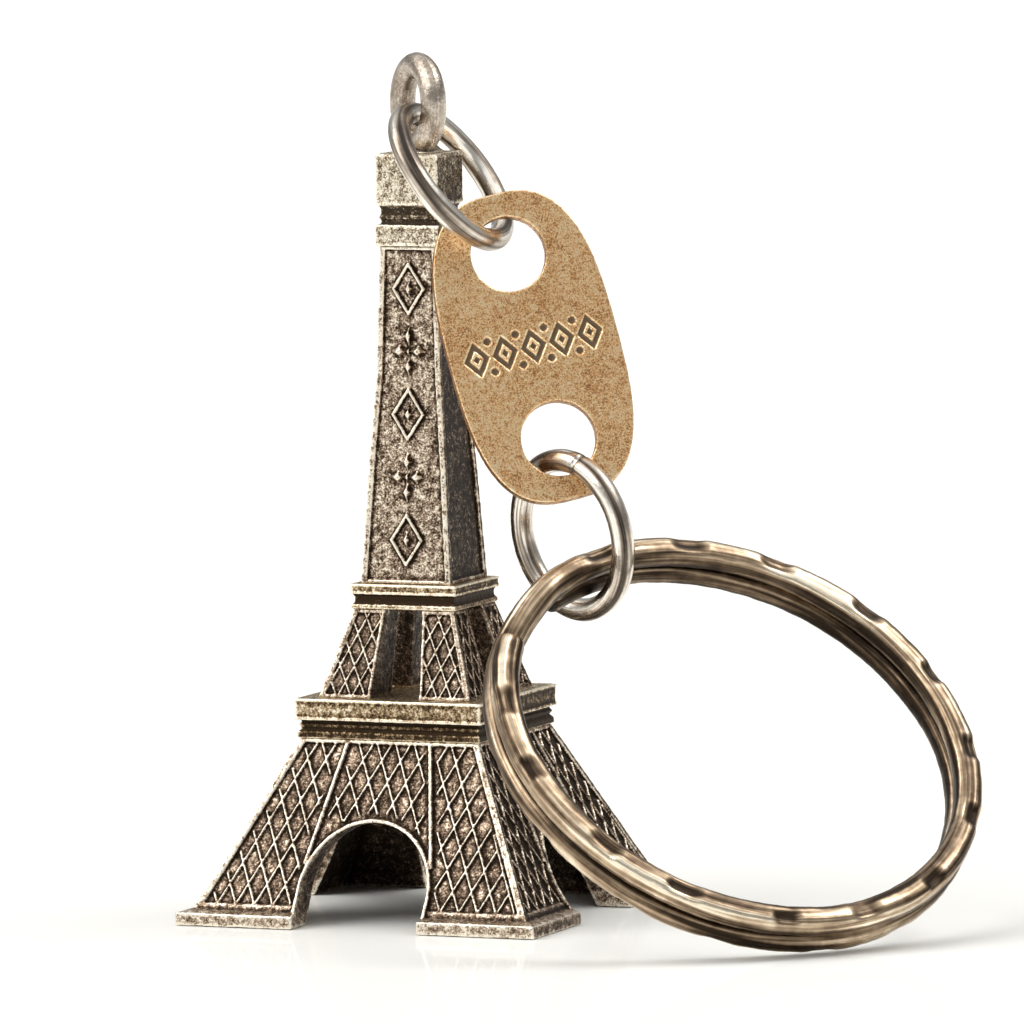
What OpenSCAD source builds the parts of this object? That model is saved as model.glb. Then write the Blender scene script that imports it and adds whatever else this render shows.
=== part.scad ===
// Keychain: a cast lattice tower with an eye on top, a jump ring, an oval tag,
// a second jump ring and a double-coil split ring, linked one through the next.
//
// Frame: millimetres. The tower stands on Z = 0 with its axis on Z, its front
// face looks along -Y and its right face along +X. The chain leaves the eye and
// comes down on the right, so that the split ring rests on the same surface.

/* [Tower base] */
// Width of the foot pads, corner to corner
base_w = 22.7; // [20:0.1:26]
// Height of the foot pads
pad_h = 0.7; // [0.4:0.05:1.2]
// Width of the legs where they leave the pads
leg_w = 21.0; // [18:0.1:22]
// Width of the legs where they meet the first platform
leg_top_w = 11.3; // [10:0.1:12]
// Height where the legs meet the first platform
leg_top_z = 10.6; // [9:0.1:12]
// Thickness of the legs' walls: the base is hollow and open below
leg_wall = 1.9; // [1.4:0.1:2.4]
// Height of the hollow's ceiling
hollow_z = 8.9; // [7:0.1:9.4]
// Radius of the arches between the legs
arch_r = 3.95; // [2.5:0.05:4.2]
// Height of the arches' centres
arch_z = 2.0; // [1.5:0.05:3]

/* [Tower stages] */
// Width of the first platform
platform_w = 11.9; // [11.5:0.1:13]
// Height of the top of the first platform
platform_z = 12.95; // [12.6:0.05:13.5]
// Width of the second stage at its foot
pier_w = 9.65; // [8.5:0.05:10.5]
// Width of the second stage at its top
pier_top_w = 6.35; // [6:0.05:6.6]
// Height of the top of the second stage
pier_top_z = 18.05; // [17:0.05:19]
// Width of the slots between the piers at their foot
slot_w = 3.1; // [2:0.1:4]
// Width of the slots between the piers at their top
slot_top_w = 2.3; // [1.5:0.1:3]
// Width of the second platform
gallery_w = 6.8; // [6.6:0.05:7.4]
// Height of the top of the second platform
gallery_z = 19.55; // [19.4:0.05:20.5]

/* [Spire] */
// Width of the spire at its foot
spire_w = 5.7; // [5.2:0.05:6.2]
// Width of the spire at its top
spire_top_w = 3.64; // [3.2:0.02:3.9]
// Height of the top of the spire
spire_top_z = 39.4; // [36:0.1:41]
// Width of the collar above the spire
collar_w = 4.08; // [3.9:0.02:4.4]
// Width of the cap
cap_w = 4.0; // [3.7:0.02:4.3]
// Height of the top of the cap
cap_z = 44.85; // [43:0.05:46]

/* [Eye] */
// Radius of the eye, to the middle of its wire
eye_r = 2.27; // [2.1:0.01:2.6]
// Radius of the eye's wire
eye_wire_r = 0.76; // [0.6:0.01:0.8]
// Height of the eye's centre
eye_z = 47.69; // [47.6:0.01:48.2]
// Heading of the eye's axis from +X
eye_heading = 46.4; // [40:0.1:60]

/* [Jump rings] */
// Radius of a jump ring, to the middle of its wire
ring_r = 4.478; // [4:0.001:4.6]
// Radius of a jump ring's wire
ring_wire_r = 0.68; // [0.5:0.01:0.72]

/* [Tag] */
// Length of the tag
tag_l = 18.6; // [17:0.1:20]
// Width of the tag
tag_w = 10.1; // [9:0.1:11]
// Thickness of the tag
tag_t = 1.0; // [0.8:0.05:1.1]
// Radius of the tag's two holes
hole_r = 2.22; // [2:0.01:2.4]
// Distance between the holes' centres
hole_pitch = 11.27; // [10.5:0.01:12]
// Squareness of the tag's outline: 2 is an ellipse
tag_squareness = 2.83; // [2.2:0.01:4]

/* [Split ring] */
// Radius of the split ring, to the middle of its wire
split_r = 14.17; // [13:0.01:15]
// Width of the split ring's wire, from inside to outside
split_wire_w = 1.7; // [1.4:0.05:1.8]
// Thickness of one coil of the split ring's wire
split_wire_t = 1.46; // [1.2:0.01:1.5]
// Depth of the groove between the two coils
split_groove = 0.35; // [0.1:0.05:0.5]

/* [Hidden] */
$fn = 64;

// Rest places of the chain: centre, then heading and tilt of the piece's own
// axis. A tilt of 0 points the axis up, and the heading turns it from +X.
upper_ring_at = [2.591, -1.312, 43.511];
upper_ring_turn = [-1.07, 54.62];
tag_at = [7.72, -1.508, 33.568];
tag_turn = [-61.43, 76.35];
tag_roll = 103.1;
lower_ring_at = [10.346, -2.185, 22.652];
lower_ring_turn = [62.91, 81.71];
split_ring_at = [21.862, -6.111, 11.229];
split_ring_turn = [-39.72, 43.5];

// The four corners of the tower, as signs of X and Y
FRONT_LEFT = [-1, -1];
FRONT_RIGHT = [1, -1];
BACK_RIGHT = [1, 1];
BACK_LEFT = [-1, 1];

// Outlines of the tower's stages, as [width, height] from the foot up
leg_foot_z = pad_h + 0.3;
leg_outline = [
    [base_w, 0], [base_w, pad_h], [leg_w, leg_foot_z], [leg_top_w, leg_top_z]
];
leg_lean = (leg_top_w - leg_w) / (leg_top_z - leg_foot_z);
hollow_outline = [
    for (z = [-1, hollow_z]) [leg_w - 2 * leg_wall + leg_lean * (z - leg_foot_z), z]
];
platform_outline = [
    [platform_w - 0.3, leg_top_z], [platform_w - 0.3, leg_top_z + 0.5],
    [platform_w - 0.55, leg_top_z + 0.5], [platform_w - 0.55, leg_top_z + 1.1],
    [platform_w, leg_top_z + 1.1], [platform_w, platform_z]
];
pier_outline = [[pier_w, platform_z], [pier_top_w, pier_top_z]];
gallery_outline = [
    [gallery_w - 0.2, pier_top_z], [gallery_w - 0.2, pier_top_z + 0.35],
    [gallery_w - 0.4, pier_top_z + 0.35], [gallery_w - 0.4, pier_top_z + 0.95],
    [gallery_w, pier_top_z + 0.95], [gallery_w, gallery_z]
];
spire_mid_z = gallery_z + 7.1;
spire_high_z = gallery_z + 12.3;
spire_outline = [
    [spire_w, gallery_z],
    [spire_w - 0.42 * (spire_w - spire_top_w), spire_mid_z],
    [spire_w - 0.8 * (spire_w - spire_top_w), spire_high_z],
    [spire_top_w, spire_top_z]
];
collar_h = 1.25;
neck_h = 1.1;
neck_w = 3.5;
collar_outline = [
    [collar_w, spire_top_z], [collar_w, spire_top_z + collar_h],
    [neck_w, spire_top_z + collar_h], [neck_w, spire_top_z + collar_h + neck_h]
];
cap_outline = [[cap_w, spire_top_z + collar_h + neck_h], [cap_w, cap_z]];

// Colours of the antique bronze finish
CASTING = [0.42, 0.36, 0.29];
EDGES = [0.66, 0.58, 0.46];
WIRE = [0.52, 0.49, 0.44];
PLATE = [0.69, 0.55, 0.38];

// Puts a piece at its rest place: its own Z axis takes the heading and tilt
module place(at, turn, roll = 0) {
    translate(at) rotate([0, turn[1], turn[0]]) rotate([0, 0, roll]) children();
}

// A silhouette of the tower, mirrored about its axis, pushed through it
module silhouette(outline) {
    right = [for (p = outline) [p[0] / 2, p[1]]];
    left = [for (i = [len(outline) - 1 : -1 : 0]) [-outline[i][0] / 2, outline[i][1]]];
    rotate([90, 0, 0]) linear_extrude(height = 2 * base_w, center = true)
        polygon(concat(right, left));
}

// A square stage: the same silhouette seen from the front and from the side
module stage(outline) {
    intersection() {
        silhouette(outline);
        rotate([0, 0, 90]) silhouette(outline);
    }
}

// Keeps one quarter of the tower, at the given corner
module quarter(corner) {
    size = base_w;
    x = corner[0] > 0 ? 0 : -size;
    y = corner[1] > 0 ? 0 : -size;
    intersection() {
        children();
        translate([x, y, -1]) cube([size, size, cap_z]);
    }
}

// The space under one pair of arches, along Y
module arch() {
    rotate([90, 0, 0]) cylinder(r = arch_r, h = 2 * base_w, center = true);
    translate([-arch_r, -base_w, -2 * arch_z])
        cube([2 * arch_r, 2 * base_w, 2 * arch_z]);
}

// One slot through the second stage, along Y
module slot() {
    rotate([90, 0, 0]) linear_extrude(height = 2 * pier_w, center = true)
        polygon([
            [-slot_w / 2, platform_z], [slot_w / 2, platform_z],
            [slot_top_w / 2, pier_top_z], [-slot_top_w / 2, pier_top_z]
        ]);
}

// One leg of the base: two leaning walls that meet at the corner, on a foot pad
module leg(corner) {
    color(CASTING) quarter(corner) difference() {
        stage(leg_outline);
        stage(hollow_outline);
        translate([0, 0, arch_z]) arch();
        translate([0, 0, arch_z]) rotate([0, 0, 90]) arch();
    }
}

// One corner pier of the second stage
module pier(corner) {
    color(CASTING) quarter(corner) difference() {
        stage(pier_outline);
        slot();
        rotate([0, 0, 90]) slot();
    }
}

// Lip, neck and slab of the first platform
module first_platform() {
    color(EDGES) stage(platform_outline);
}

// Lip, neck and slab of the second platform
module second_platform() {
    color(EDGES) stage(gallery_outline);
}

// The tall tapering shaft
module spire() {
    color(CASTING) stage(spire_outline);
}

// The collar and the neck above it
module collar() {
    color(EDGES) stage(collar_outline);
}

// The square block under the eye
module cap() {
    color(EDGES) stage(cap_outline);
}

// The round eye, standing on a short root on the cap
module eye() {
    root_h = 0.8;
    color(WIRE) intersection() {
        union() {
            translate([0, 0, eye_z]) rotate([0, 90, eye_heading])
                wire_ring(eye_r, eye_wire_r);
            translate([0, 0, cap_z]) cylinder(r = eye_wire_r + 0.1, h = root_h);
        }
        translate([-base_w, -base_w, cap_z]) cube(2 * base_w);
    }
}

// A closed ring of round wire about Z
module wire_ring(r, wire_r) {
    rotate_extrude() translate([r, 0]) circle(r = wire_r);
}

// A point of the tag's outline: a squared ellipse
function tag_point(a) = [
    tag_w / 2 * sign(cos(a)) * pow(abs(cos(a)), 2 / tag_squareness),
    tag_l / 2 * sign(sin(a)) * pow(abs(sin(a)), 2 / tag_squareness)
];

// The flat oval tag, with its length along Y and its thickness along Z
module tag_plate() {
    steps = 72;
    difference() {
        linear_extrude(height = tag_t, center = true)
            polygon([for (i = [0 : steps - 1]) tag_point((i + 0.5) * 360 / steps)]);
        for (side = [-1, 1])
            translate([0, side * hole_pitch / 2, 0])
                cylinder(r = hole_r, h = 2 * tag_t, center = true);
    }
}

// A bar's cross-section with rounded corners
module rounded_section(w, h, r) {
    square([w - 2 * r, h], center = true);
    square([w, h - 2 * r], center = true);
    for (x = [-1, 1], y = [-1, 1])
        translate([x * (w / 2 - r), y * (h / 2 - r)]) circle(r = r);
}

// Two coils of flattened wire, one on the other, joined through the middle
module double_coil() {
    rotate_extrude() translate([split_r, 0]) {
        for (side = [-1, 1])
            translate([0, side * split_wire_t / 2])
                rounded_section(split_wire_w, split_wire_t, 0.4);
        square([split_wire_w - 2 * split_groove, split_wire_t], center = true);
    }
}

// The jump ring through the eye
module upper_jump_ring() {
    color(WIRE) place(upper_ring_at, upper_ring_turn) wire_ring(ring_r, ring_wire_r);
}

// The tag between the two jump rings
module tag() {
    color(PLATE) place(tag_at, tag_turn, tag_roll) tag_plate();
}

// The jump ring that carries the split ring
module lower_jump_ring() {
    color(WIRE) place(lower_ring_at, lower_ring_turn) wire_ring(ring_r, ring_wire_r);
}

// The split ring that the keys go on
module split_ring() {
    color(WIRE) place(split_ring_at, split_ring_turn) double_coil();
}

leg(FRONT_LEFT);  // leg_front_left
leg(FRONT_RIGHT);  // leg_front_right
leg(BACK_RIGHT);  // leg_back_right
leg(BACK_LEFT);  // leg_back_left
first_platform();
pier(FRONT_LEFT);  // pier_front_left
pier(FRONT_RIGHT);  // pier_front_right
pier(BACK_RIGHT);  // pier_back_right
pier(BACK_LEFT);  // pier_back_left
second_platform();
spire();
collar();
cap();
eye();
upper_jump_ring();
tag();
lower_jump_ring();
split_ring();
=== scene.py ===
import math

import bpy
import numpy as np
from mathutils import Matrix, Vector, noise


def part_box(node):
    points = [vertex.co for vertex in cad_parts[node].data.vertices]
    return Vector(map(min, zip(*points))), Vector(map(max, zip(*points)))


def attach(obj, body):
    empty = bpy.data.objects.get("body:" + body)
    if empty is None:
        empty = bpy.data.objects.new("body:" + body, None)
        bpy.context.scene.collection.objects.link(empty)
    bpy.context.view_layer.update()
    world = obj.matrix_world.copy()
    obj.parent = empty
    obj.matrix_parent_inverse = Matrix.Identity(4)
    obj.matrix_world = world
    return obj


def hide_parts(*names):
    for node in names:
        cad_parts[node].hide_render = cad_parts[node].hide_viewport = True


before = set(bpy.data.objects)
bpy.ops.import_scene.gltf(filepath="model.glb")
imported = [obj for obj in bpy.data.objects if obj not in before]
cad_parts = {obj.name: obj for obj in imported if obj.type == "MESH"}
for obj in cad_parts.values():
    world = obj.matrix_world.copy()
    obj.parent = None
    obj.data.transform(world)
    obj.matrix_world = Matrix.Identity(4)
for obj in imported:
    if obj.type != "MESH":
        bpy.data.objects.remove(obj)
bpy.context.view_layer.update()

# A keychain in antique bronze: a cast lattice tower with an eye, a jump ring, an
# oval tag, a second jump ring and a split ring. Shapes are worked out in
# millimetres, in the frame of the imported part, and become metres as they are made.

MM = 0.001
SIDES = 4
FRONT = 0
CORNERS = {
    "front_left": (-1, -1),
    "front_right": (1, -1),
    "back_right": (1, 1),
    "back_left": (-1, 1),
}

# Camera: where it looks, from which side, and how far off it stands
AIM = Vector((5.65, 0.0, 23.7)) * MM
AZIMUTH = math.radians(22.47)
ELEVATION = math.radians(5.26)
ROLL = math.radians(-0.72)
DISTANCE = 665.3 * MM
LENS = 397.6
SENSOR = 36.0

# Studio: the floor, and the light from all round as (height over the horizon, brightness)
FLOOR_HALF = 4.0
FLOOR_DROP = 0.00005
FLOOR_COLOUR = (0.87, 0.87, 0.845, 1)
FLOOR_GLOSS = 0.15
FLOOR_ROUGHNESS = 0.07
WORLD_LIGHT = ((0.0, 0.9), (0.08, 0.85), (0.18, 0.28), (0.5, 0.34), (0.72, 1.0), (1.0, 1.0))
WORLD_WARMTH = 0.985
WORLD_STRENGTH = 1.0

# Tower base
LEG_FOOT_Z = 1.0
PANEL_DEPTH = 0.22
BAR_ROOT = 0.15
POST = 0.42
FOOT_BAND_Z = 1.12
FOOT_BAND_W = 0.4
HEAD_BAND_W = 0.3
RIB_W = 0.4
ARCH_R = 3.95
ARCH_Z = 2.0
RIM_W = 0.34
RIB_TOP = (2.62, 10.45)
RIB_FOOT = (3.98, 3.7)
LATTICE_PITCH = 1.18
LATTICE_LEAN = 0.5
LATTICE_W = 0.18
LATTICE_GAP = 0.2
LATTICE_LEAST = 0.45
LATTICE_CROWN = 0.4

# Second stage
PIER_DEPTH = 0.16
FINE_ROOT = 0.12
PIER_POST = 0.3
JAMB_W = 0.26
JAMB_GAP = 0.15
PIER_BAND_W = 0.24
PIER_BAND_IN = 0.1
PIER_PITCH = 0.92
PIER_LATTICE_W = 0.18

# Spire
SPIRE_DEPTH = 0.17
SPIRE_POST = 0.34
SPIRE_BAND_W = 0.26
SPIRE_BAND_IN = 0.12
MOTIFS = 5
MOTIF_PITCH = 3.69
MOTIF_W = 1.9
MOTIF_H = 2.9
MOTIF_TOP_Z = 36.9
STROKE = 0.3
LOZENGE_STUD = (0.75, 1.15)
ROSETTE_REACH = 0.31
ROSETTE_TALL = (0.8, 1.4)
ROSETTE_WIDE = (1.2, 0.95)
ROSETTE_HEART = (0.4, 0.6)

# Slabs: how strongly painted shade darkens the band under each overhang
OVERHANG_SHADE = 3.4

# Eye, with the thin flash line that its mould left round it
EYE_R = 2.27
EYE_WIRE = 0.76
EYE_HEADING = math.radians(46.4)
FLASH_REACH = 1.02
FLASH_ROOT = 0.4
FLASH_ROOT_W = 0.05
FLASH_TIP_W = 0.03

# Jump rings
SEAM_GAP = 0.05
SEAM_ROUND = 0.16
JUMP_SWELL = 0.012

# Split ring
SPLIT_WIRE_W = 1.7
SPLIT_COIL_T = 1.46
SPLIT_JOG = math.radians(24)
SPLIT_END = (-0.844, -0.362, 0.397)
DENT_FIRST = math.radians(21)
DENT_PITCH = math.radians(22.9)
DENTS = 14
DENT_SHIFT_FAR = 0.2
DENT_HIGH = 0.92
DENT_TALL = 0.62
DENT_WIDE = 0.52
SPLIT_SWELL = 0.03
SPLIT_END_ROUND = 0.6

# Tag: a band of lozenges, with dots between them
ENGRAVED_DEPTH = 0.13
CELL = 1.72
CELLS_EACH_WAY = 2
LOZENGE_HALF_H = 1.18
DOT_UP = 0.92
DOT_R = 0.22
CUT_SLOPE = 0.1
UNCUT = 9.0


# ---------------------------------------------------------------- frame helpers


def node_points(name):
    """A CAD node's vertices, in millimetres."""
    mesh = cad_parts[name].data
    flat = np.zeros(len(mesh.vertices) * 3, np.float32)
    mesh.vertices.foreach_get("co", flat)
    return flat.reshape(-1, 3).astype(float) / MM


def node_faces(name):
    return [tuple(p.vertices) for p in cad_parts[name].data.polygons]


def box_mm(name):
    low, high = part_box(name)
    return np.array(low) / MM, np.array(high) / MM


def leaning_outline(names, least):
    """Heights and half widths of a square stage, read off its corner edges, which are further
    than least from the middle."""
    points = np.vstack([node_points(n) for n in names])
    on_corner = np.abs(np.abs(points[:, 0]) - np.abs(points[:, 1])) < 0.02
    corner = points[on_corner & (np.abs(points[:, 0]) > least)]
    levels = np.unique(np.round(corner[:, 2], 2))
    widths = [np.abs(corner[np.abs(corner[:, 2] - z) < 0.02, 0]).max() for z in levels]
    return levels, np.array(widths)


class Side:
    """One of the four leaning sides of a square stage."""

    def __init__(self, turn, levels, widths):
        angle = turn * math.pi / 2
        self.out = np.array([math.sin(angle), -math.cos(angle), 0.0])
        self.along = np.array([math.cos(angle), math.sin(angle), 0.0])
        self.levels, self.widths = levels, widths

    def half(self, z):
        return np.interp(z, self.levels, self.widths)

    def at(self, s, z, lift=0.0):
        """The point s along the side at height z, lifted off the side."""
        return self.out * (self.half(z) + lift) + self.along * s + np.array([0, 0, z])


def principal_frame(name):
    """Centre and three axes of a node that is symmetric about them, shortest axis last."""
    points = node_points(name)
    _, axes = np.linalg.eigh(np.cov((points - points.mean(0)).T))
    axes = axes[:, ::-1].T
    spans = [points @ axis for axis in axes]
    centre = sum((s.max() + s.min()) / 2 * axis for s, axis in zip(spans, axes))
    sizes = [s.max() - s.min() for s in spans]
    return centre, axes, sizes


# ------------------------------------------------------------------- shells

BOX_FACES = [(0, 1, 2, 3), (7, 6, 5, 4), (0, 4, 5, 1), (1, 5, 6, 2), (2, 6, 7, 3), (3, 7, 4, 0)]


def bar(side, a, b, width, foot, top, crown=0.55):
    """A raised bar on a side, from a to b, each (along, height)."""
    a, b = np.array(a, float), np.array(b, float)
    run = (b - a) / np.linalg.norm(b - a)
    across = np.array([-run[1], run[0]])
    points = []
    for level, share in ((foot, 1.0), (top, crown)):
        for end, sign in ((a, 1), (a, -1), (b, -1), (b, 1)):
            s, z = end + across * sign * width / 2 * share
            points.append(side.at(s, z, level))
    return points, BOX_FACES


def moulding(side, line, width, foot, top, crown=0.55):
    """Bars along a line of points, each reaching a little into the next."""
    made = []
    for a, b in zip(line[:-1], line[1:]):
        a, b = np.array(a, float), np.array(b, float)
        reach = (b - a) / np.linalg.norm(b - a) * width * 0.25
        made.append(bar(side, a - reach, b + reach, width, foot, top, crown))
    return made


def post(corner, levels, widths, size):
    """A square post that fills a corner of a leaning stage."""
    made = []
    for z0, z1, w0, w1 in zip(levels[:-1], levels[1:], widths[:-1], widths[1:]):
        points = []
        for z, w in ((z0, w0), (z1, w1)):
            for x, y in ((w - size, w - size), (w, w - size), (w, w), (w - size, w)):
                points.append([x * corner[0], y * corner[1], z])
        made.append((points, BOX_FACES))
    return made


def square_turned(levels):
    """A closed shell of square rings, each (half width, height)."""
    points, faces = [], []
    for w, z in levels:
        points += [[-w, -w, z], [w, -w, z], [w, w, z], [-w, w, z]]
    for i in range(len(levels) - 1):
        for k in range(4):
            a, b = 4 * i + k, 4 * i + (k + 1) % 4
            faces.append((a, b, b + 4, a + 4))
    last = 4 * (len(levels) - 1)
    faces.append((3, 2, 1, 0))
    faces.append((last, last + 1, last + 2, last + 3))
    return points, faces


def inset_node(name, levels, widths, depth, above):
    """A stage's node with its outer sides moved in by depth, above a height."""
    points = node_points(name)
    half = np.interp(points[:, 2], levels, widths)
    for axis in (0, 1):
        outer = (np.abs(points[:, axis]) > half - 0.03) & (points[:, 2] > above)
        points[outer, axis] = np.sign(points[outer, axis]) * (half[outer] - depth)
    return points, node_faces(name)


def swept_ring(centre, axis, start, radius, wire, steps=120, around=24):
    """A closed ring of round wire."""
    across = np.cross(axis, start)
    points, faces = [], []
    for i in range(steps):
        turn = 2 * math.pi * i / steps
        out = math.cos(turn) * start + math.sin(turn) * across
        for k in range(around):
            roll = 2 * math.pi * k / around
            away = radius + wire * math.cos(roll)
            points.append(centre + out * away + axis * wire * math.sin(roll))
            j, m = (i + 1) % steps, (k + 1) % around
            faces.append((i * around + k, j * around + k, j * around + m, i * around + m))
    return points, faces


# --------------------------------------------------------------- mesh finishing


def new_mesh(name, points, faces):
    mesh = bpy.data.meshes.new(name)
    mesh.from_pydata([tuple(map(float, p)) for p in points], [], faces)
    mesh.update()
    return mesh


def with_modifiers(mesh, *settings):
    """The mesh after some modifiers, each (type, values)."""
    made = bpy.data.objects.new("working", mesh)
    bpy.context.scene.collection.objects.link(made)
    for kind, values in settings:
        modifier = made.modifiers.new(kind.lower(), kind)
        for key, value in values.items():
            setattr(modifier, key, value)
    graph = bpy.context.evaluated_depsgraph_get()
    done = bpy.data.meshes.new_from_object(made.evaluated_get(graph))
    bpy.data.objects.remove(made)
    bpy.data.meshes.remove(mesh)
    return done


def fused(name, shells, voxel):
    """One skin round overlapping closed shells."""
    points, faces = [], []
    for shell_points, shell_faces in shells:
        start = len(points)
        points.extend(shell_points)
        faces.extend(tuple(start + i for i in face) for face in shell_faces)
    mesh = new_mesh(name, points, faces)
    return with_modifiers(mesh, ("REMESH", {"mode": "VOXEL", "voxel_size": voxel}))


def arrays(mesh):
    """Vertices, normals and edges of a mesh."""
    points = np.zeros(len(mesh.vertices) * 3, np.float32)
    normals = np.zeros(len(mesh.vertices) * 3, np.float32)
    edges = np.zeros(len(mesh.edges) * 2, np.int32)
    mesh.vertices.foreach_get("co", points)
    mesh.vertex_normals.foreach_get("vector", normals)
    mesh.edges.foreach_get("vertices", edges)
    points = points.reshape(-1, 3).astype(float)
    normals = normals.reshape(-1, 3).astype(float)
    return points, normals, edges.reshape(-1, 2)


def set_points(mesh, points):
    mesh.vertices.foreach_set("co", points.astype(np.float32).ravel())
    mesh.update()


def spread(values, edges, rounds, step=0.5):
    """Values averaged with their neighbours along the edges, round after round."""
    a, b = edges.T
    n = len(values)
    count = np.bincount(a, minlength=n) + np.bincount(b, minlength=n)
    count = np.maximum(count, 1)[:, None]
    for _ in range(rounds):
        total = [np.bincount(a, part[b], n) + np.bincount(b, part[a], n) for part in values.T]
        values = values + step * (np.stack(total, 1) / count - values)
    return values


def softened(mesh, rounds):
    """Takes the voxel steps off a mesh without shrinking it."""
    points, _, edges = arrays(mesh)
    for _ in range(rounds):
        points = spread(points, edges, 1, 0.6)
        points = spread(points, edges, 1, -0.62)
    set_points(mesh, points)


def roughened(mesh, height, size, seed):
    """Gives a mesh the uneven skin of a casting."""
    points, normals, _ = arrays(mesh)
    shift = Vector((seed * 17.3, seed * 5.1, seed * 9.7))
    lift = [noise.fractal(Vector(p) / size + shift, 1.0, 2.0, 3) for p in points]
    set_points(mesh, points + normals * np.array(lift)[:, None] * height)


def add_value(mesh, name, values):
    attribute = mesh.attributes.new(name, "FLOAT", "POINT")
    attribute.data.foreach_set("value", values.astype(np.float32))


def add_wear(mesh, near=3, far=24, near_scale=0.02, far_scale=0.09, blur=0):
    """Stores how far each point stands out of its surroundings, close to and further off."""
    points, normals, edges = arrays(mesh)
    close = spread(points, edges, near)
    edge = ((points - close) * normals).sum(1)
    wide = spread(close, edges, far)
    hollow = ((points - wide) * normals).sum(1)
    edge = (edge - np.median(edge)) / near_scale
    hollow = (hollow - np.median(hollow)) / far_scale
    worn = spread(np.stack([edge, hollow], 1), edges, blur)
    add_value(mesh, "edge", np.clip(worn[:, 0], -1, 1))
    add_value(mesh, "hollow", np.clip(worn[:, 1], -1, 1))


def add_painted_shade(mesh):
    """Marks painted shade on a tower piece: its right side, its underside and whatever faces
    the tower's middle are darkened."""
    points, normals, _ = arrays(mesh)
    out = points * (1, 1, 0)
    from_middle = np.linalg.norm(out, axis=1)
    out /= np.maximum(from_middle, 0.01)[:, None]
    outward = (out * normals).sum(1)
    inward = np.clip(-outward * 1.6 - 0.35, 0, 1) * (from_middle >= 1.0)
    under = np.clip(-normals[:, 2] - 0.6, 0, 0.4) / 0.4
    right = np.clip(normals[:, 0] * 1.5 - 0.3, 0, 1) * (outward > 0.2)
    # Painted shade: right side, underside and inner faces made darker
    painted_shade = np.maximum(right * 0.8, np.maximum(inward, under * 0.7))
    add_value(mesh, "painted_shade", np.clip(painted_shade, 0, 1))


def finished(name, mesh, material, body, nodes, keep=1.0):
    """Makes the piece of a mesh in millimetres, and says what it rides on and stands for."""
    if keep < 1.0:
        mesh = with_modifiers(mesh, ("DECIMATE", {"ratio": keep}))
    mesh.transform(Matrix.Scale(MM, 4))
    mesh.name = name
    mesh.materials.clear()
    mesh.materials.append(material)
    mesh.shade_smooth()
    piece = bpy.data.objects.new(name, mesh)
    bpy.context.scene.collection.objects.link(piece)
    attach(piece, body)
    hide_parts(*nodes)


# ------------------------------------------------------------------- materials


class Shader:
    """A Principled material and short ways to add nodes to it."""

    def __init__(self, name):
        self.material = bpy.data.materials.new(name)
        self.material.use_nodes = True
        self.tree = self.material.node_tree
        self.surface = self.tree.nodes["Principled BSDF"]
        self.place = self.add("ShaderNodeTexCoord").outputs["Object"]

    def add(self, kind, **values):
        node = self.tree.nodes.new(kind)
        for key, value in values.items():
            setattr(node, key, value)
        return node

    def feed(self, socket, value):
        if isinstance(value, bpy.types.NodeSocket):
            self.tree.links.new(value, socket)
        else:
            socket.default_value = value

    def maths(self, operation, a, b=0.0, c=0.0, clamp=False):
        node = self.add("ShaderNodeMath", operation=operation, use_clamp=clamp)
        for socket, value in zip(node.inputs, (a, b, c)):
            self.feed(socket, value)
        return node.outputs[0]

    def attribute(self, name, output="Fac"):
        return self.add("ShaderNodeAttribute", attribute_name=name).outputs[output]

    def stretched(self, place, scale):
        node = self.add("ShaderNodeVectorMath", operation="MULTIPLY")
        self.feed(node.inputs[0], place)
        node.inputs[1].default_value = scale
        return node.outputs[0]

    def noise(self, size_mm, detail=3.0, roughness=0.55, place=None, distortion=0.0):
        """Noise from -0.5 to 0.5 with features of about that size."""
        node = self.add("ShaderNodeTexNoise")
        self.feed(node.inputs["Vector"], self.place if place is None else place)
        node.inputs["Scale"].default_value = 1 / (size_mm * MM)
        node.inputs["Detail"].default_value = detail
        node.inputs["Roughness"].default_value = roughness
        node.inputs["Distortion"].default_value = distortion
        return self.maths("SUBTRACT", node.outputs["Fac"], 0.5)

    def total(self, base, *terms):
        """base plus each (weight, value)."""
        for weight, value in terms:
            base = self.maths("ADD", base, self.maths("MULTIPLY", value, weight))
        return base

    def threads(self, size_mm, sharp=16.0):
        """Fine winding lines, from 0 to 1."""
        lines = self.maths("ABSOLUTE", self.noise(size_mm, 2.0, 0.5, distortion=1.2))
        return self.maths("MULTIPLY_ADD", lines, -sharp, 1.0, clamp=True)

    def ramp(self, value, *stops):
        node = self.add("ShaderNodeValToRGB")
        elements = node.color_ramp.elements
        while len(elements) < len(stops):
            elements.new(0.5)
        for element, (where, colour) in zip(elements, stops):
            element.position = where
            element.color = (*colour, 1.0)
        self.feed(node.inputs["Fac"], value)
        return node.outputs["Color"]

    def between(self, value, low, high):
        """value from 0..1 to low..high."""
        node = self.add("ShaderNodeMapRange", clamp=True)
        self.feed(node.inputs["Value"], value)
        node.inputs["To Min"].default_value = low
        node.inputs["To Max"].default_value = high
        return node.outputs["Result"]

    def bump(self, height, depth_mm, strength):
        node = self.add("ShaderNodeBump")
        self.feed(node.inputs["Height"], height)
        node.inputs["Distance"].default_value = depth_mm * MM
        node.inputs["Strength"].default_value = strength
        return node.outputs["Normal"]


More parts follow.
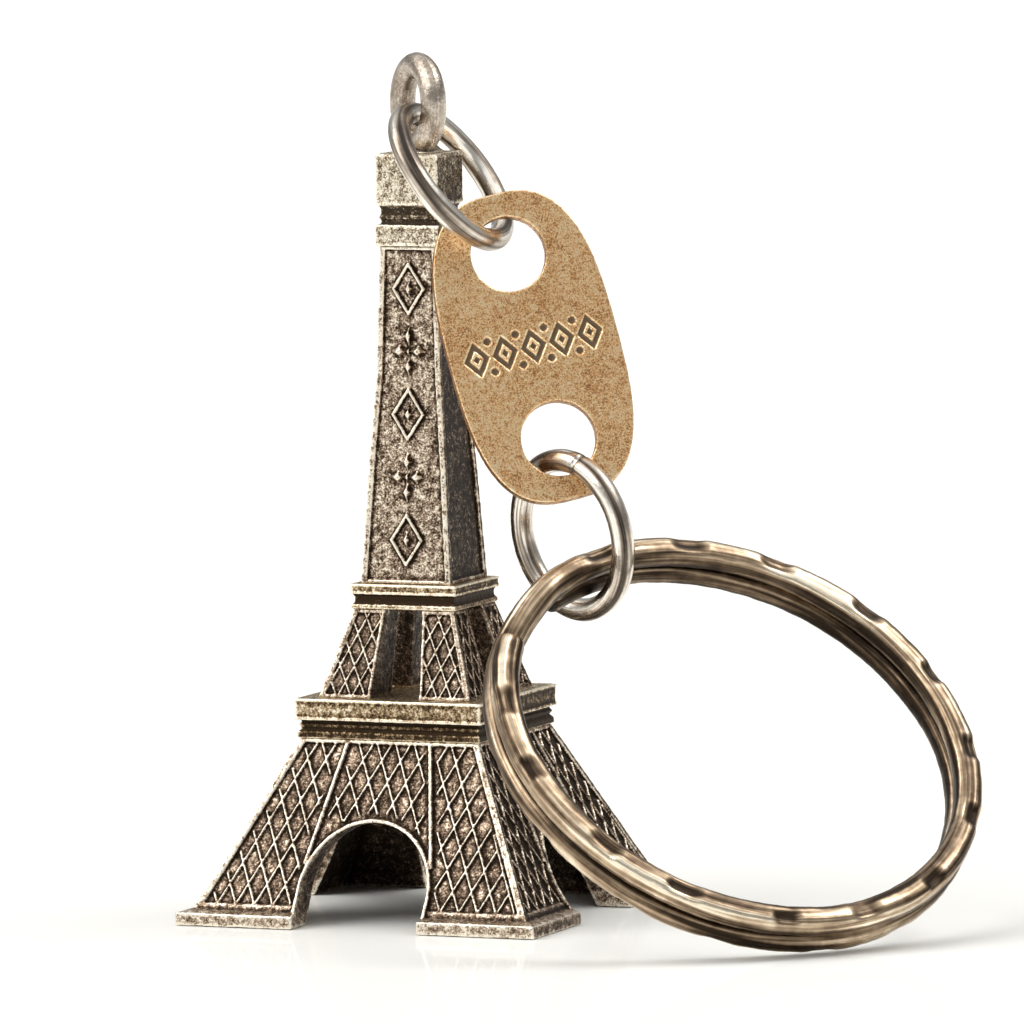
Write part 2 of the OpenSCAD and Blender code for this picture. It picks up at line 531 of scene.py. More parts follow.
def antique(name, colours, base, patch, grain, wear, hollow, rough, painted_shade=0.3, bump_mm=0.025):
    """Antique plating on a casting: dark in the recesses, rubbed bright where it stands out.

    base is its middle tone from 0 to 1, the next four are how far large patches, the sandy grain,
    edges and hollows move it, rough is the roughness of its darkest and its brightest parts, and
    the shade weight is how far painted shade darkens right sides, undersides and inner faces.
    """
    sh = Shader(name)
    patches = sh.noise(2.6, 4.0, 0.6)
    sandy = sh.noise(0.11, 3.0, 0.7)
    fine = sh.noise(0.5, 3.0, 0.6)
    tone = sh.total(
        base,
        (patch, patches),
        (grain, sandy),
        (grain * 0.6, fine),
        (0.16, sh.threads(0.55)),
        (wear, sh.attribute("edge")),
        (hollow, sh.attribute("hollow")),
        # Lighter where the feet are rubbed (wear) and darker in painted shade under the slabs' overhangs,
        # then painted shade on right sides, undersides and inner faces
        (0.24, sh.attribute("wear_and_painted_shade")),
        (-painted_shade, sh.attribute("painted_shade")),
    )
    colour = sh.ramp(tone, *zip(TONES, colours))
    sh.feed(sh.surface.inputs["Base Color"], colour)
    sh.surface.inputs["Metallic"].default_value = 1.0
    sh.feed(sh.surface.inputs["Roughness"], sh.between(tone, rough[0], rough[1]))
    height = sh.total(0.0, (1.0, sandy), (0.7, fine))
    sh.feed(sh.surface.inputs["Normal"], sh.bump(height, bump_mm, 0.8))
    return sh.material


def drawn_wire(name, colours, base, rough, streak, dents=0.15):
    """Plated wire: streaks run along it, dark plating stays in its dents, and painted shade darkens it where
    the mesh marks it.
    """
    sh = Shader(name)
    along = sh.attribute("along", "Vector")
    streaks = sh.noise(0.3, 2.0, 0.5, sh.stretched(along, (0.03, 1.0, 1.0)))
    bands = sh.noise(0.8, 2.0, 0.5, sh.stretched(along, (0.08, 1.0, 1.0)))
    patches = sh.noise(2.4, 3.0, 0.5)
    fine = sh.noise(0.3, 3.0, 0.6)
    tone = sh.total(
        base,
        (streak, streaks),
        (streak * 0.8, bands),
        (0.4, patches),
        (0.15, fine),
        (0.2, sh.attribute("edge")),
        (dents, sh.attribute("hollow")),
        # painted shade marked on the mesh (split ring groove, inner side and dents)
        (-0.35, sh.attribute("painted_shade")),
    )
    colour = sh.ramp(tone, *zip(TONES, colours))
    sh.feed(sh.surface.inputs["Base Color"], colour)
    sh.surface.inputs["Metallic"].default_value = 1.0
    sh.feed(sh.surface.inputs["Roughness"], sh.between(tone, rough[0], rough[1]))
    height = sh.total(0.0, (1.0, streaks), (0.6, bands), (0.2, fine))
    sh.feed(sh.surface.inputs["Normal"], sh.bump(height, 0.05, 0.7))
    return sh.material


def tag_metal():
    """Satin antique brass with a sandy grain, with painted shade on its rim walls, and darker in the
    engraving.
    """
    sh = Shader("tag_brass")
    sandy = sh.noise(0.09, 3.0, 0.65)
    threads = sh.threads(0.3, 13.0)
    fine = sh.noise(0.4, 3.0, 0.6)
    patches = sh.noise(3.2, 4.0, 0.6)
    tone = sh.total(
        0.4,
        (2.7, sandy),
        (0.8, fine),
        (0.5, threads),
        (0.9, patches),
        (0.4, sh.attribute("edge")),
        (0.12, sh.attribute("hollow")),
        # painted shade on the rim walls
        (-0.45, sh.attribute("painted_rim_shade")),
    )
    worn = sh.ramp(
        tone,
        (0.0, (0.2, 0.09, 0.035)),
        (0.33, (0.58, 0.3, 0.125)),
        (0.55, (0.87, 0.51, 0.235)),
        (0.78, (0.97, 0.68, 0.37)),
        (1.0, (1.0, 0.84, 0.56)),
    )
    mix = sh.add("ShaderNodeMix", data_type="RGBA")
    sh.feed(mix.inputs["Factor"], sh.attribute("engraved"))
    sh.feed(mix.inputs["A"], worn)
    mix.inputs["B"].default_value = (0.19, 0.14, 0.095, 1)
    sh.feed(sh.surface.inputs["Base Color"], mix.outputs["Result"])
    sh.surface.inputs["Metallic"].default_value = 1.0
    rough = sh.total(sh.between(tone, 0.5, 0.3), (0.2, sh.attribute("engraved")))
    sh.feed(sh.surface.inputs["Roughness"], rough)
    height = sh.total(0.0, (1.0, sandy), (0.2, threads))
    sh.feed(sh.surface.inputs["Normal"], sh.bump(height, 0.02, 0.6))
    return sh.material


# Base colours from the darkest tone to the brightest, at the places in TONES
TONES = (0.0, 0.3, 0.55, 0.78, 1.0)
DARK_BRONZE = (
    (0.022, 0.015, 0.01),
    (0.095, 0.065, 0.045),
    (0.27, 0.195, 0.14),
    (0.58, 0.46, 0.34),
    (0.95, 0.88, 0.75),
)
SLAB_BRONZE = (
    (0.04, 0.026, 0.015),
    (0.15, 0.1, 0.055),
    (0.36, 0.26, 0.15),
    (0.64, 0.51, 0.34),
    (0.97, 0.89, 0.73),
)
PALE_BRONZE = (
    (0.05, 0.037, 0.025),
    (0.19, 0.145, 0.1),
    (0.44, 0.36, 0.26),
    (0.72, 0.63, 0.49),
    (0.97, 0.9, 0.76),
)
GUNMETAL = (
    (0.05, 0.042, 0.036),
    (0.15, 0.122, 0.098),
    (0.36, 0.3, 0.245),
    (0.62, 0.545, 0.465),
    (0.95, 0.9, 0.82),
)
OLIVE_BRONZE = (
    (0.035, 0.024, 0.016),
    (0.13, 0.09, 0.058),
    (0.32, 0.235, 0.155),
    (0.6, 0.46, 0.32),
    (0.95, 0.85, 0.67),
)

casting = antique(
    "casting",
    DARK_BRONZE,
    base=0.42, patch=0.4, grain=1.9, wear=0.7, hollow=0.42,
    rough=(0.6, 0.34), painted_shade=0.5,
)
shaft = antique(
    "shaft",
    DARK_BRONZE,
    base=0.56, patch=0.5, grain=2.7, wear=1.0, hollow=0.4,
    rough=(0.58, 0.34), painted_shade=0.75,
)
slabs = antique(
    "slabs",
    SLAB_BRONZE,
    base=0.52, patch=0.35, grain=2.2, wear=0.8, hollow=0.5,
    rough=(0.58, 0.36), painted_shade=0.55,
)
crown = antique(
    "crown",
    PALE_BRONZE,
    base=0.62, patch=0.4, grain=3.2, wear=0.7, hollow=0.5,
    rough=(0.55, 0.34), painted_shade=0.6,
)
eye_metal = antique(
    "eye_metal",
    GUNMETAL,
    base=0.6, patch=0.8, grain=0.45, wear=0.5, hollow=0.4,
    rough=(0.4, 0.22), bump_mm=0.02,
)
ring_metal = drawn_wire("ring_metal", GUNMETAL, base=0.72, rough=(0.4, 0.2), streak=2.8)
split_metal = drawn_wire("split_metal", OLIVE_BRONZE, base=0.56, rough=(0.45, 0.24), streak=2.2, dents=0.3)
brass = tag_metal()


# ----------------------------------------------------------------- tower pieces


def rib_at(z):
    """How far the inner ribs of the base stand from the middle at a height."""
    (top_s, top_z), (foot_s, foot_z) = RIB_TOP, RIB_FOOT
    return np.interp(z, (foot_z, top_z), (foot_s, top_s))


def arch_line(radius, foot_z):
    """Points along an arch from foot to foot, as (along, height)."""
    turns = np.linspace(math.pi, 0, 31)
    curve = [(radius * math.cos(t), ARCH_Z + radius * math.sin(t)) for t in turns]
    return [(-radius, foot_z), *curve, (radius, foot_z)]


def lattice(side, inside, pitch, width, foot, top, low, high):
    """Crossing bars over the part of a side where inside(along, height) holds."""
    made = []
    reach = side.half(low) + LATTICE_LEAN * (high - low)
    heights = np.linspace(low, high, 160)
    for sign in (-1, 1):
        for start in np.arange(-reach, reach + pitch, pitch):
            line = [(start + sign * LATTICE_LEAN * (z - low), z) for z in heights]
            first = None
            for i, ok in enumerate([inside(s, z) for s, z in line] + [False]):
                if ok and first is None:
                    first = i
                if not ok and first is not None:
                    if heights[i - 1] - heights[first] > LATTICE_LEAST:
                        made.append(bar(side, line[first], line[i - 1], width, foot, top, LATTICE_CROWN))
                    first = None
    return made


def base_shells():
    """The hollow legs with sunk panels, and all that stands on the panels of the four sides."""
    legs = ["leg_" + corner for corner in CORNERS]
    levels, widths = leaning_outline(legs, least=5.0)
    top_z = levels[-1]
    feet_z = LEG_FOOT_Z - 0.05
    shells = [inset_node(n, levels, widths, PANEL_DEPTH, above=feet_z) for n in legs]
    above_feet = levels >= feet_z
    for corner in CORNERS.values():
        shells += post(corner, levels[above_feet], widths[above_feet], POST)
    deep = -PANEL_DEPTH - BAR_ROOT

    def in_panel(s, z):
        s = abs(s)
        if math.hypot(s, max(z - ARCH_Z, 0)) < ARCH_R + RIM_W + LATTICE_GAP:
            return False
        if s > np.interp(z, levels, widths) - POST - LATTICE_GAP:
            return False
        return abs(s - rib_at(z)) > RIB_W / 2 + LATTICE_GAP or z < RIB_FOOT[1]

    for turn in range(SIDES):
        side = Side(turn, levels, widths)
        shells += moulding(side, arch_line(ARCH_R + RIM_W / 2, LEG_FOOT_Z), RIM_W, deep, top=0.06, crown=0.5)
        inner, outer = ARCH_R + 0.1, side.half(1.25) - 0.1
        for sign in (-1, 1):
            rib = [(sign * RIB_FOOT[0], RIB_FOOT[1]), (sign * RIB_TOP[0], RIB_TOP[1])]
            shells += moulding(side, rib, RIB_W, deep, top=0.02, crown=0.45)
            ends = [(sign * inner, FOOT_BAND_Z), (sign * outer, FOOT_BAND_Z)]
            shells.append(bar(side, *ends, FOOT_BAND_W, deep, top=0.03, crown=0.6))
        edge = side.half(top_z)
        ends = [(-edge, top_z - 0.1), (edge, top_z - 0.1)]
        shells.append(bar(side, *ends, HEAD_BAND_W, deep, top=0.0, crown=0.7))
        low, high = LEG_FOOT_Z + 0.2, top_z - 0.15
        shells += lattice(side, in_panel, LATTICE_PITCH, LATTICE_W, deep, -0.05, low, high)
    return legs, shells


def make_base():
    legs, shells = base_shells()
    mesh = fused("base", shells, voxel=0.07)
    softened(mesh, rounds=1)
    roughened(mesh, height=0.022, size=0.32, seed=1)
    add_wear(mesh)
    add_painted_shade(mesh)
    height = arrays(mesh)[0][:, 2]
    add_value(mesh, "wear_and_painted_shade", np.clip((LEG_FOOT_Z - height) / 0.25, 0, 1))
    finished("tower_base", mesh, casting, "tower", legs, keep=0.35)


def make_pier(corner_name, number):
    """One corner of the second stage, with lattice on its two outer sides."""
    node = "pier_" + corner_name
    corner = CORNERS[corner_name]
    levels, widths = leaning_outline(["pier_" + c for c in CORNERS], least=3.0)
    points = node_points(node)
    shells = [inset_node(node, levels, widths, PIER_DEPTH, above=-1.0)]
    shells += post(corner, levels, widths, PIER_POST)
    low, high = levels[0], levels[-1]
    slot = [np.abs(points[np.abs(points[:, 2] - z) < 0.02, 0]).min() for z in (low, high)]
    deep = -PIER_DEPTH - FINE_ROOT
    for turn in range(SIDES):
        side = Side(turn, levels, widths)
        if np.dot(side.out[:2], corner) < 0.5:
            continue
        sign = 1 if np.dot(side.along[:2], corner) > 0 else -1

        def in_panel(s, z):
            edge = np.interp(z, (low, high), slot)
            return edge + JAMB_GAP < s * sign < np.interp(z, levels, widths) - PIER_POST

        jamb = [(sign * (edge + JAMB_W / 2), z) for edge, z in zip(slot, (low, high))]
        shells += moulding(side, jamb, JAMB_W, deep, top=0.0, crown=0.6)
        shells += lattice(side, in_panel, PIER_PITCH, PIER_LATTICE_W, deep, -0.02, low, high)
        for z in (low + PIER_BAND_IN, high - PIER_BAND_IN):
            ends = [(sign * np.interp(z, (low, high), slot), z), (sign * side.half(z), z)]
            shells.append(bar(side, *ends, PIER_BAND_W, deep, top=0.0, crown=0.7))
    mesh = fused(node, shells, voxel=0.055)
    softened(mesh, rounds=1)
    roughened(mesh, height=0.018, size=0.3, seed=2 + number)
    add_wear(mesh)
    add_painted_shade(mesh)
    finished("second_stage_" + corner_name, mesh, casting, "tower", [node], keep=0.6)


COMPASS = ((0, -1), (1, 0), (0, 1), (-1, 0))


def lozenge(side, s, z, width, height, stroke, foot, top):
    """A raised lozenge outline."""
    corners = [(s + ds * width / 2, z + dz * height / 2) for ds, dz in COMPASS]
    return moulding(side, corners + corners[:1], stroke, foot, top, 0.5)


def stud(side, s, z, width, height, foot, top):
    """A raised solid lozenge."""
    points = []
    for level, share in ((foot, 1.0), (top, 0.35)):
        for ds, dz in COMPASS:
            points.append(side.at(s + ds * width / 2 * share, z + dz * height / 2 * share, level))
    return points, BOX_FACES


def framed_lozenge(side, z, deep):
    """The first ornament: a lozenge outline round a stud."""
    return [
        *lozenge(side, 0, z, MOTIF_W, MOTIF_H, STROKE, deep, top=0.03),
        stud(side, 0, z, *LOZENGE_STUD, deep, top=0.1),
    ]


def rosette(side, z, deep):
    """The second ornament: four studs round a small one."""
    made = []
    for ds, dz in COMPASS:
        place = (ds * MOTIF_W * ROSETTE_REACH, z + dz * MOTIF_H * ROSETTE_REACH)
        size = ROSETTE_TALL if ds == 0 else ROSETTE_WIDE
        made.append(stud(side, *place, *size, deep, top=0.12))
    made.append(stud(side, 0, z, *ROSETTE_HEART, deep, top=0.08))
    return made


def make_spire():
    levels, widths = leaning_outline(["spire"], least=1.0)
    shells = [inset_node("spire", levels, widths, SPIRE_DEPTH, above=-1.0)]
    for corner in CORNERS.values():
        shells += post(corner, levels, widths, SPIRE_POST)
    deep = -SPIRE_DEPTH - FINE_ROOT
    for turn in range(SIDES):
        side = Side(turn, levels, widths)
        for z in (levels[0] + SPIRE_BAND_IN, levels[-1] - SPIRE_BAND_IN):
            edge = side.half(z) - 0.05
            shells.append(bar(side, (-edge, z), (edge, z), SPIRE_BAND_W, deep, top=-0.01, crown=0.7))
    front = Side(FRONT, levels, widths)
    for i in range(MOTIFS):
        z = MOTIF_TOP_Z - i * MOTIF_PITCH
        shells += framed_lozenge(front, z, deep) if i % 2 == 0 else rosette(front, z, deep)
    mesh = fused("spire", shells, voxel=0.06)
    softened(mesh, rounds=1)
    roughened(mesh, height=0.018, size=0.3, seed=7)
    add_wear(mesh)
    add_painted_shade(mesh)
    finished("spire_shaft", mesh, shaft, "tower", ["spire"], keep=0.5)


def make_block(name, node, outline, material, overhang_shade_band, voxel, seed, keep=1.0):
    """A square slab with mouldings. The outline goes up from its foot as (inset, height),
    and a band between two given heights, under the overhang above, is darkened as painted shade."""
    low, high = box_mm(node)
    half = high[0]
    levels = [(half - inset, low[2] + up) for inset, up in outline]
    mesh = fused(name, [square_turned(levels)], voxel)
    softened(mesh, rounds=1)
    roughened(mesh, height=0.02, size=0.28, seed=seed)
    add_wear(mesh)
    add_painted_shade(mesh)
    rise = arrays(mesh)[0][:, 2] - low[2]
    # Painted shade: the band under the overhang above is made darker
    add_value(mesh, "wear_and_painted_shade", -OVERHANG_SHADE * ((rise > overhang_shade_band[0]) & (rise < overhang_shade_band[1])))
    finished(name, mesh, material, "tower", [node], keep=keep)


def framed(foot, top, depth=0.07, border=0.14):
    """Part of an outline: an upright band that is sunk between two borders."""
    slope = 0.05
    return [
        (0, foot),
        (0, foot + border),
        (depth, foot + border + slope),
        (depth, top - border - slope),
        (0, top - border),
        (0, top),
    ]


FIRST_OUTLINE = [
    *((0.25, 0), (0.15, 0.06), (0.15, 0.38), (0.3, 0.5)),
    *((0.36, 0.62), (0.24, 0.7), (0.24, 0.84), (0.36, 0.92), (0.34, 1.08)),
    *framed(1.1, 2.35),
]
SECOND_OUTLINE = [
    *((0.18, 0), (0.1, 0.05), (0.1, 0.27), (0.22, 0.36), (0.26, 0.6), (0.2, 0.86)),
    *framed(0.92, 1.5, depth=0.05, border=0.1),
]
COLLAR_OUTLINE = [
    *((0.04, 0), (0, 0.06), (0.0, 0.14), (0.04, 0.2), (0.04, 1.02), (0, 1.1), (0, 1.2), (0.06, 1.26)),
    *((0.3, 1.3), (0.3, 1.55), (0.22, 1.62), (0.22, 1.78), (0.3, 1.85), (0.3, 2.2), (0.2, 2.35)),
]
CAP_OUTLINE = [
    *((0.14, 0), (0.04, 0.08), (0.0, 0.2), (0.03, 0.35)),
    *((0.03, 2.8), (0.0, 2.9), (0.03, 3.0), (0.14, 3.1)),
]


def flash_line(centre, axis, start):
    """The thin fin round the outside of the eye, as a closed shell."""
    across = np.cross(axis, start)
    section = (
        (FLASH_ROOT, -FLASH_ROOT_W),
        (EYE_WIRE * FLASH_REACH, -FLASH_TIP_W),
        (EYE_WIRE * FLASH_REACH, FLASH_TIP_W),
        (FLASH_ROOT, FLASH_ROOT_W),
    )
    points, faces = [], []
    steps = 96
    for i in range(steps):
        turn = 2 * math.pi * i / steps
        out = math.cos(turn) * start + math.sin(turn) * across
        for r, w in section:
            points.append(centre + out * (EYE_R + r) + axis * w)
        for k in range(4):
            j, m = (i + 1) % steps, (k + 1) % 4
            faces.append((i * 4 + k, j * 4 + k, j * 4 + m, i * 4 + m))
    return points, faces


def make_eye():
    low, high = box_mm("eye")
    foot = low[2] - 0.02
    centre = np.array([0, 0, high[2] - EYE_R - EYE_WIRE])
    axis = np.array([math.cos(EYE_HEADING), math.sin(EYE_HEADING), 0.0])
    up = np.array([0, 0, 1.0])
    root = [(1.25, foot), (1.05, low[2] + 0.12), (0.85, low[2] + 0.35), (0.6, low[2] + 0.8)]
    shells = [
        swept_ring(centre, axis, up, EYE_R, EYE_WIRE),
        flash_line(centre, axis, up),
        square_turned(root),
    ]
    mesh = fused("eye", shells, voxel=0.055)
    points, _, _ = arrays(mesh)
    points[:, 2] = np.maximum(points[:, 2], foot)
    set_points(mesh, points)
    softened(mesh, rounds=2)
    roughened(mesh, height=0.012, size=0.5, seed=11)
    add_wear(mesh)
    finished("eye_loop", mesh, eye_metal, "tower", ["eye"])


# ------------------------------------------------------------------- the chain


def wire_mesh(name, path, steps, squareness):
    """A skin along a wire. path(t), with t from 0 to 1, gives the section's centre, two axes and
    half sizes. A squareness of 2 makes a round section, and more makes it flatter."""
    around = 36
    points, along = [], []
    length = 0.0
    last = None
    for i in range(steps + 1):
        centre, out, up, half_out, half_up = path(i / steps)
        if last is not None:
            length += np.linalg.norm(centre - last)
        last = centre
        for k in range(around):
            roll = 2 * math.pi * k / around
            c, s = math.cos(roll), math.sin(roll)
            x = half_out * math.copysign(abs(c) ** (2 / squareness), c)
            y = half_up * math.copysign(abs(s) ** (2 / squareness), s)
            points.append(centre + out * x + up * y)
            along.append((length * MM, math.cos(roll) * half_out * MM, math.sin(roll) * half_up * MM))
    faces = []
    for i in range(steps):
        for k in range(around):
            m = (k + 1) % around
            faces.append((i * around + k, i * around + m, (i + 1) * around + m, (i + 1) * around + k))
    faces.append(tuple(range(around)))
    faces.append(tuple(steps * around + k for k in reversed(range(around))))
    mesh = new_mesh(name, points, faces)
    attribute = mesh.attributes.new("along", "FLOAT_VECTOR", "POINT")
    attribute.data.foreach_set("vector", np.array(along, np.float32).ravel())
    return mesh


def end_taper(t, length, reach):
    """How far a wire's section has grown to its full size, near its cut ends."""
    near = min(t, 1 - t) * length / reach
    return 1.0 if near >= 1 else 0.72 + 0.28 * math.sqrt(max(0.0, 1 - (1 - near) ** 2))


def make_jump_ring(name, node, body, seam, seed):
    """A ring of round wire, with its two ends meeting in a seam on the side that seam points to."""
    centre, axes, sizes = principal_frame(node)
    axis = axes[2]
    wire = sizes[2] / 2
    radius = sizes[0] / 2 - wire
    seam = np.array(seam) - np.dot(seam, axis) * axis
    seam /= np.linalg.norm(seam)
    across = np.cross(axis, seam)
    gap = SEAM_GAP / radius
    length = 2 * math.pi * radius

    def path(t):
        turn = gap / 2 + t * (2 * math.pi - gap)
        out = math.cos(turn) * seam + math.sin(turn) * across
        swell = 1 - JUMP_SWELL + JUMP_SWELL * math.sin(5 * turn + seed)
        size = wire * end_taper(t, length, SEAM_ROUND) * swell
        return centre + out * radius, out, axis, size, size

    mesh = wire_mesh(name, path, steps=300, squareness=2.0)
    roughened(mesh, height=0.01, size=0.7, seed=seed)
    add_wear(mesh, near=2, far=8, near_scale=0.012, far_scale=0.05, blur=2)
    finished(name, mesh, ring_metal, body, [node])


def dent_depths(angle, out, high, radius):
    """How far each point of the split ring is pressed in by the dents along both coils."""
    rng = np.random.default_rng(5)
    depths = np.zeros(len(angle))
    for i in range(DENTS):
        where = DENT_FIRST + i * DENT_PITCH + rng.uniform(-0.03, 0.03)
        for face in (1, -1):
            middle = where + (DENT_SHIFT_FAR if face < 0 else 0)
            off = (angle - middle + math.pi) % (2 * math.pi) - math.pi
            run = off * radius / rng.uniform(0.7, 0.95)
            lift = (out - rng.uniform(0.05, 0.4)) / DENT_WIDE
            level = (high - face * SPLIT_COIL_T * DENT_HIGH) / DENT_TALL
            depth = rng.uniform(0.24, 0.34)
            depths += depth * np.exp(-(run**4)) * np.exp(-(lift**2) - level**2)
    return depths


def make_split_ring():
    """One wire wound twice. It steps over to the other coil halfway along, between the places of
    its two ends."""
    centre, axes, sizes = principal_frame("split_ring")
    axis = axes[2] * (1 if axes[2][2] > 0 else -1)
    radius = sizes[0] / 2 - SPLIT_WIRE_W / 2
    towards = np.array(SPLIT_END)
    start = towards - np.dot(towards, axis) * axis
    start /= np.linalg.norm(start)
    across = np.cross(axis, start)
    ramp = SPLIT_JOG / (2 * math.pi)
    turns = 2 - ramp
    length = turns * 2 * math.pi * radius

    def path(t):
        turned = t * turns
        angle = turned * 2 * math.pi
        out = math.cos(angle) * start + math.sin(angle) * across
        fall = min(max((turned - (1 - ramp)) / ramp, 0), 1)
        height = (0.5 - fall * fall * (3 - 2 * fall)) * SPLIT_COIL_T
        size = end_taper(t, length, SPLIT_END_ROUND)
        swell = 1 - SPLIT_SWELL + SPLIT_SWELL * math.sin(angle * 7.3 + 1)
        return (
            centre + out * radius + axis * height,
            out,
            -axis,
            SPLIT_WIRE_W / 2 * size * swell,
            SPLIT_COIL_T / 2 * 0.99 * size,
        )

    mesh = wire_mesh("split_ring", path, steps=1300, squareness=2.5)
    points, normals, _ = arrays(mesh)
    local = points - centre
    high = local @ axis
    flat = local - high[:, None] * axis
    angle = np.arctan2(flat @ across, flat @ start)
    out = np.linalg.norm(flat, axis=1) - radius
    sink = dent_depths(angle, out, high, radius)
    set_points(mesh, points - normals * sink[:, None])
    roughened(mesh, height=0.03, size=1.1, seed=21)
    roughened(mesh, height=0.008, size=0.25, seed=22)
    add_wear(mesh, far_scale=0.08, blur=4)
    # Painted shade: darker in the groove where the two coils touch, on the ring's inner side and in the
    # dents
    groove = 1 - np.abs(high) / 0.42
    dent = sink / 0.7
    inside = -out / 0.6 - 0.25
    add_value(mesh, "painted_shade", np.clip(np.maximum(np.maximum(groove, dent), inside), 0, 1))
    finished("split_ring_wire", mesh, split_metal, "split_ring", ["split_ring"])


def engraved_band(x, y):
    """How deep the tag's face is cut at each point, from 0 to 1."""
    number = np.round(x / CELL)
    u = (x - number * CELL) / (CELL * 0.5)
    v = y / LOZENGE_HALF_H
    from_middle = np.abs(u) + np.abs(v)
    outline = np.abs(from_middle - 0.7) - 0.2
    heart = from_middle - 0.22
    lozenges = np.where(np.abs(number) <= CELLS_EACH_WAY, np.minimum(outline, heart), UNCUT)
    between = np.abs((x / CELL + 0.5) % 1 - 0.5)
    dots = np.hypot(np.abs(between - 0.5) * CELL, np.abs(y) - DOT_UP) - DOT_R
    dots = np.where(np.abs(x) < CELL * CELLS_EACH_WAY, dots, UNCUT)
    return np.clip(0.5 - np.minimum(lozenges, dots) / CUT_SLOPE, 0, 1)


def make_tag():
    """The oval plate, made lying flat with its face up and then turned into its place."""
    centre, axes, sizes = principal_frame("tag")
    long, _, thick = axes
    if thick[1] > 0:
        thick = -thick
    if long[2] < 0:
        long = -long
    basis = np.stack([np.cross(long, thick), long, thick])
    local = (node_points("tag") - centre) @ basis.T
    mesh = fused("tag", [(local, node_faces("tag"))], voxel=0.07)
    softened(mesh, rounds=1)
    points, _, edges = arrays(mesh)
    points = spread(points, edges, 3, 0.5)
    x, y, z = points.T
    face = z > sizes[2] / 2 * 0.7
    cut = np.where(face, engraved_band(x, y), 0)
    points[:, 2] -= ENGRAVED_DEPTH * cut
    set_points(mesh, points)
    add_value(mesh, "engraved", cut)
    roughened(mesh, height=0.008, size=0.4, seed=31)
    add_wear(mesh, near=2, far=16, far_scale=0.1)
    points, normals, _ = arrays(mesh)
    # Painted shade on the tag's sideways rim walls, outside the engraving
    add_value(mesh, "painted_rim_shade", np.clip(1.2 - 2 * np.abs(normals[:, 2]), 0, 1) * (cut == 0))
    set_points(mesh, points @ basis + centre)
    finished("tag_plate", mesh, brass, "tag", ["tag"], keep=0.6)


# ------------------------------------------------------------ studio and camera


def make_camera():
    flat = math.cos(ELEVATION)
    back = Vector((math.sin(AZIMUTH) * flat, -math.cos(AZIMUTH) * flat, math.sin(ELEVATION)))
    level = Vector((math.cos(AZIMUTH), math.sin(AZIMUTH), 0))
    above = back.cross(level)
    right = level * math.cos(ROLL) + above * math.sin(ROLL)
    up = above * math.cos(ROLL) - level * math.sin(ROLL)
    data = bpy.data.cameras.new("camera")
    data.lens = LENS
    data.sensor_width = SENSOR
    data.clip_start, data.clip_end = 0.01, 20
    camera = bpy.data.objects.new("camera", data)
    bpy.context.scene.collection.objects.link(camera)
    turn = Matrix((right, up, back)).transposed().to_4x4()
    camera.matrix_world = Matrix.Translation(AIM + back * DISTANCE) @ turn
    bpy.context.scene.camera = camera


def make_floor():
    half = FLOOR_HALF
    corners = [(-half, -half, 0), (half, -half, 0), (half, half, 0), (-half, half, 0)]
    mesh = bpy.data.meshes.new("floor")
    mesh.from_pydata(corners, [], [(0, 1, 2, 3)])
    floor = bpy.data.objects.new("floor", mesh)
    bpy.context.scene.collection.objects.link(floor)
    floor.location.z = -FLOOR_DROP
    material = bpy.data.materials.new("floor")
    material.use_nodes = True
    tree = material.node_tree
    tree.nodes.clear()
    diffuse = tree.nodes.new("ShaderNodeBsdfDiffuse")
    diffuse.inputs["Color"].default_value = FLOOR_COLOUR
    gloss = tree.nodes.new("ShaderNodeBsdfGlossy")
    gloss.inputs["Color"].default_value = (1, 1, 1, 1)
    gloss.inputs["Roughness"].default_value = FLOOR_ROUGHNESS
    mix = tree.nodes.new("ShaderNodeMixShader")
    mix.inputs["Fac"].default_value = FLOOR_GLOSS
    out = tree.nodes.new("ShaderNodeOutputMaterial")
    tree.links.new(diffuse.outputs[0], mix.inputs[1])
    tree.links.new(gloss.outputs[0], mix.inputs[2])
    tree.links.new(mix.outputs[0], out.inputs["Surface"])
    mesh.materials.append(material)


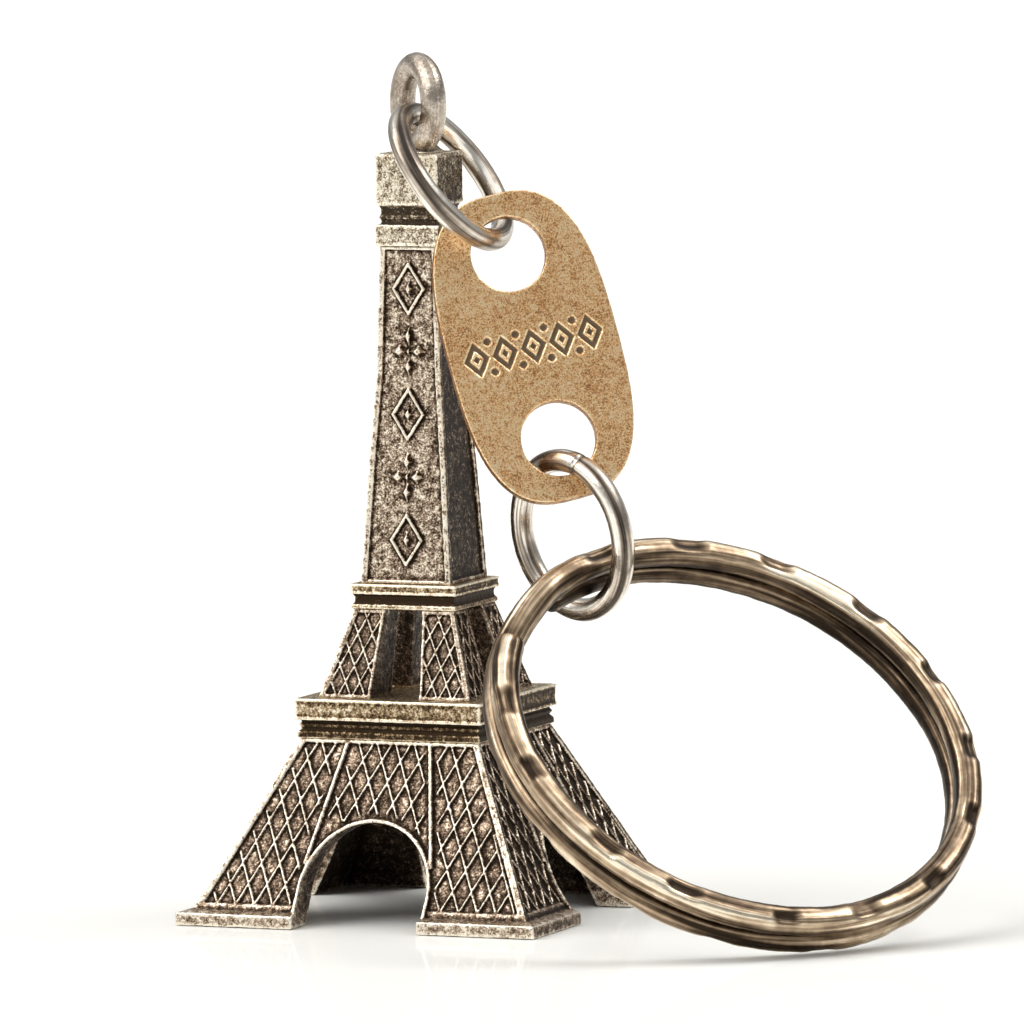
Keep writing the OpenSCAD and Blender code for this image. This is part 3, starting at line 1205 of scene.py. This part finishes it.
def make_world():
    """A soft studio: bright overhead and round the horizon, dimmer in between."""
    world = bpy.data.worlds.new("studio")
    bpy.context.scene.world = world
    world.use_nodes = True
    tree = world.node_tree
    background = tree.nodes["Background"]
    place = tree.nodes.new("ShaderNodeTexCoord")
    split = tree.nodes.new("ShaderNodeSeparateXYZ")
    tree.links.new(place.outputs["Generated"], split.inputs[0])
    ramp = tree.nodes.new("ShaderNodeValToRGB")
    elements = ramp.color_ramp.elements
    while len(elements) < len(WORLD_LIGHT):
        elements.new(0.5)
    for element, (where, value) in zip(elements, WORLD_LIGHT):
        element.position = where
        element.color = (value, value, value * WORLD_WARMTH, 1)
    tree.links.new(split.outputs["Z"], ramp.inputs["Fac"])
    tree.links.new(ramp.outputs["Color"], background.inputs["Color"])
    background.inputs["Strength"].default_value = WORLD_STRENGTH


def sun(name, towards, strength, spread_deg, colour=(1, 1, 1)):
    """A wide soft source; towards is the direction from the keychain to it."""
    data = bpy.data.lights.new(name, "SUN")
    data.energy = strength
    data.angle = math.radians(spread_deg)
    data.color = colour
    light = bpy.data.objects.new(name, data)
    bpy.context.scene.collection.objects.link(light)
    light.rotation_mode = "QUATERNION"
    light.rotation_quaternion = Vector(towards).to_track_quat("Z", "Y")


make_camera()
make_floor()
make_world()
sun("key", (-0.75, -0.55, 0.85), strength=1.9, spread_deg=60, colour=(1.0, 0.98, 0.95))
sun("rim", (0.5, 0.35, 0.9), strength=0.9, spread_deg=30)

make_base()
for number, corner_name in enumerate(CORNERS):
    make_pier(corner_name, number)
make_spire()
make_block(
    "first_platform_slab",
    "first_platform",
    FIRST_OUTLINE,
    slabs,
    overhang_shade_band=(0.06, 1.05),
    voxel=0.075,
    seed=5,
    keep=0.5,
)
make_block(
    "second_platform_slab",
    "second_platform",
    SECOND_OUTLINE,
    slabs,
    overhang_shade_band=(0.3, 0.88),
    voxel=0.06,
    seed=6,
    keep=0.6,
)
make_block("collar_block", "collar", COLLAR_OUTLINE, crown, overhang_shade_band=(1.28, 9), voxel=0.055, seed=8)
make_block("cap_block", "cap", CAP_OUTLINE, crown, overhang_shade_band=(0, 0), voxel=0.055, seed=9)
make_eye()
make_jump_ring("upper_ring_wire", "upper_jump_ring", "upper_ring", seam=(0.3, 0.87, -0.4), seed=12)
make_jump_ring("lower_ring_wire", "lower_jump_ring", "lower_ring", seam=(0.25, -0.3, 1.0), seed=13)
make_tag()
make_split_ring()

bpy.context.scene.view_settings.view_transform = "Standard"
bpy.context.scene.view_settings.look = "None"
